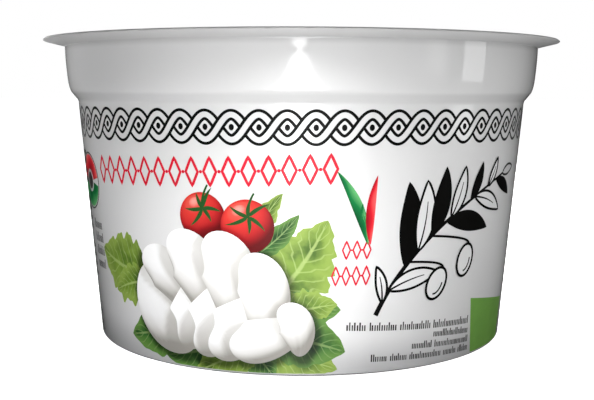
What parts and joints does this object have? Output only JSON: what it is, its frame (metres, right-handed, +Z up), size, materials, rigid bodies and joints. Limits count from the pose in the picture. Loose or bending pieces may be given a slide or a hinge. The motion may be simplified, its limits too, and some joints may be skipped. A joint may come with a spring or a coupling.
{
  "type": "printed plastic tub of soft cheese",
  "caption": "Round white plastic tub, shut by a film sealed to its flange, with an upright neck, a rounded shoulder, a tapering printed wall and a foot ring.",
  "frame": {"origin": "middle of the base, where the tub stands", "axes": "+Z up along the axis of the tub, +Y away from the printed front"},
  "size_m": [0.118, 0.118, 0.0672],
  "materials": {
    "white_plastic": "glossy moulded white plastic with a print on the wall",
    "film": "satin white film, drawn tight and sealed to the flange"
  },
  "bodies": {
    "root": {"tub": "white_plastic", "seal_film": "film"}
  },
  "joints": []
}
